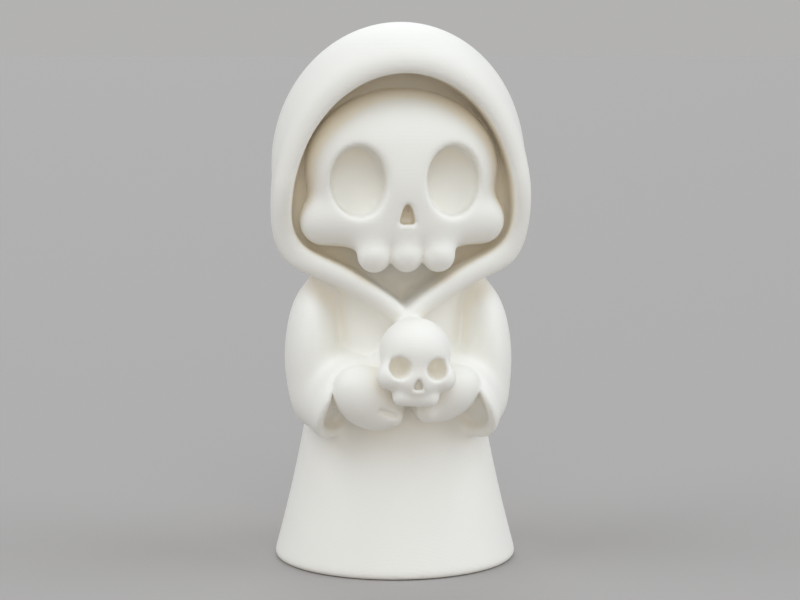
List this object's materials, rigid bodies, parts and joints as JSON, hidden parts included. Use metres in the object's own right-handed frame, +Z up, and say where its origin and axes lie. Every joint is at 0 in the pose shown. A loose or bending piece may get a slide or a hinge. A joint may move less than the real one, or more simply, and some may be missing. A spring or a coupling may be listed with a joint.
{
  "type": "grim reaper figurine",
  "caption": "A small cartoon grim reaper in a hooded robe with a large skull face, holding a little skull in front of its chest, moulded whole in matte white plastic.",
  "frame": {"origin": "centre of the flat underside of the robe", "axes": "+Z up through the hood, -Y the way the face looks, +X towards the figure's own left hand"},
  "size_m": [0.052, 0.0554, 0.1097],
  "materials": {
    "white_plastic": "matte, smooth, off-white"
  },
  "bodies": {
    "root": {"reaper_figurine": "white_plastic"}
  },
  "joints": []
}
